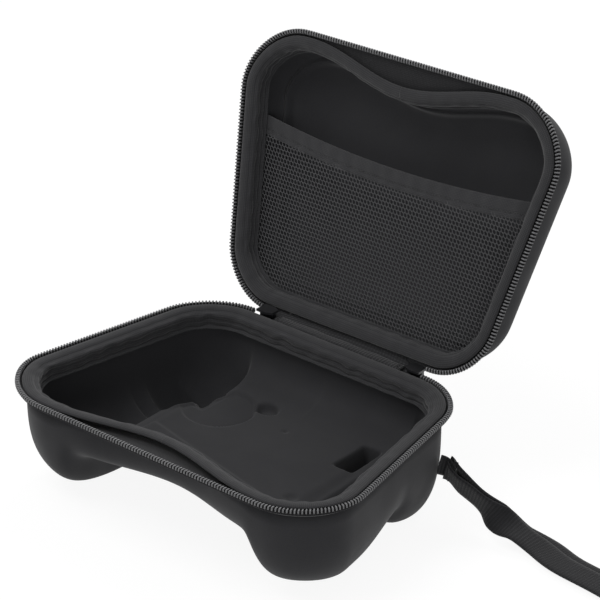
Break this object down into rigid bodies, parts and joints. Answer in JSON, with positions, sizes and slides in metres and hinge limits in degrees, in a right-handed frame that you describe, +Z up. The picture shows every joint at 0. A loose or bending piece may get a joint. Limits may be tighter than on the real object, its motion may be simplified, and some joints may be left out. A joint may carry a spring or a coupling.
{
  "type": "controller carrying case",
  "caption": "Moulded clamshell case for a game controller, lid open, with a zip round three sides, a net pocket in the lid, a cloth hinge and a wrist strap.",
  "frame": {"origin": "middle of the bounding box on the plane that the case stands on, with the strap counted", "axes": "+X along the case's long side towards the wrist strap, +Y towards the hinge, +Z up"},
  "size_m": [0.3054, 0.1972, 0.169],
  "materials": {
    "moulded_fabric": "smooth knitted face pressed onto moulded foam",
    "binding_cloth": "matt woven binding",
    "tape_cloth": "fine woven tape",
    "webbing": "ribbed woven webbing",
    "net_cloth": "open knitted net",
    "tooth_plastic": "moulded teeth",
    "slider_metal": "black enamel over zinc"
  },
  "bodies": {
    "base": {"base_shell": "moulded_fabric", "base_binding": "binding_cloth", "base_zip_tape": "tape_cloth", "base_zip_teeth": "tooth_plastic", "hinge_strip": "binding_cloth", "hinge_lining": "binding_cloth", "zip_slider_left": "slider_metal", "zip_slider_right": "slider_metal", "strap_tab": "webbing", "wrist_strap": "webbing"},
    "lid": {"lid_shell": "moulded_fabric", "lid_binding": "binding_cloth", "lid_zip_tape": "tape_cloth", "lid_zip_teeth": "tooth_plastic", "pocket_band": "binding_cloth", "pocket_net": "net_cloth"},
    "pull_left": {"zip_pull_left": "slider_metal"},
    "pull_right": {"zip_pull_right": "slider_metal"}
  },
  "joints": [
    {"name": "lid_hinge", "type": "hinge", "parent": "base", "child": "lid", "pos_m": [-0.05942, 0.029, 0.04783], "axis": [0.9989, -0.0114, 0.0459], "range_deg": [-60, 111.2], "deforming": ["hinge_strip"]},
    {"name": "pull_left_swing", "type": "hinge", "parent": "base", "child": "pull_left", "pos_m": [-0.10092, 0.0287, 0.044], "axis": [0, 1, 0], "range_deg": [-50, 45]},
    {"name": "pull_right_swing", "type": "hinge", "parent": "base", "child": "pull_right", "pos_m": [-0.01792, 0.0287, 0.044], "axis": [0, 1, 0], "range_deg": [-45, 50]}
  ]
}
